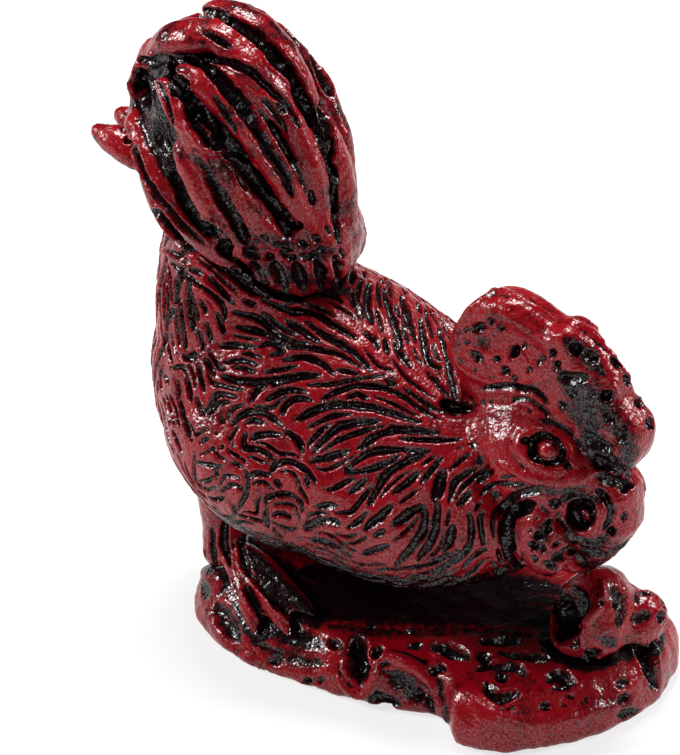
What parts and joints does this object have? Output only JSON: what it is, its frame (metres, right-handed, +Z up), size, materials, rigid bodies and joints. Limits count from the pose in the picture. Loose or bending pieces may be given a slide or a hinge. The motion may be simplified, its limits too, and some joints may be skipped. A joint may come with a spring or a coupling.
{
  "type": "rooster figurine",
  "caption": "Small resin figurine of a crouching rooster with a lobed comb and a swept tail, pecking at a stone on a low rock plinth.",
  "frame": {"origin": "on the ground, under the middle of the whole figure", "axes": "+X the way the rooster looks, +Y its left side, +Z up"},
  "size_m": [0.0488, 0.0242, 0.0477],
  "materials": {
    "red_resin": "satin red casting with black patina in the recesses"
  },
  "bodies": {
    "root": {"comb": "red_resin", "eye_left": "red_resin", "eye_right": "red_resin", "foot_left": "red_resin", "foot_right": "red_resin", "head": "red_resin", "leg_left": "red_resin", "leg_right": "red_resin", "lower_beak": "red_resin", "neck_cape": "red_resin", "pecking_stone": "red_resin", "plinth": "red_resin", "saddle": "red_resin", "tail_core": "red_resin", "tail_feather_left_1": "red_resin", "tail_feather_left_2": "red_resin", "tail_feather_left_3": "red_resin", "tail_feather_left_4": "red_resin", "tail_feather_left_5": "red_resin", "tail_feather_left_6": "red_resin", "tail_feather_left_7": "red_resin", "tail_feather_left_8": "red_resin", "tail_feather_left_9": "red_resin", "tail_feather_middle": "red_resin", "tail_feather_right_1": "red_resin", "tail_feather_right_10": "red_resin", "tail_feather_right_2": "red_resin", "tail_feather_right_3": "red_resin", "tail_feather_right_4": "red_resin", "tail_feather_right_5": "red_resin", "tail_feather_right_6": "red_resin", "tail_feather_right_7": "red_resin", "tail_feather_right_8": "red_resin", "tail_feather_right_9": "red_resin", "tail_root": "red_resin", "trunk": "red_resin", "upper_beak": "red_resin", "wattle_left": "red_resin", "wattle_right": "red_resin", "wing_left": "red_resin", "wing_right": "red_resin"}
  },
  "joints": []
}
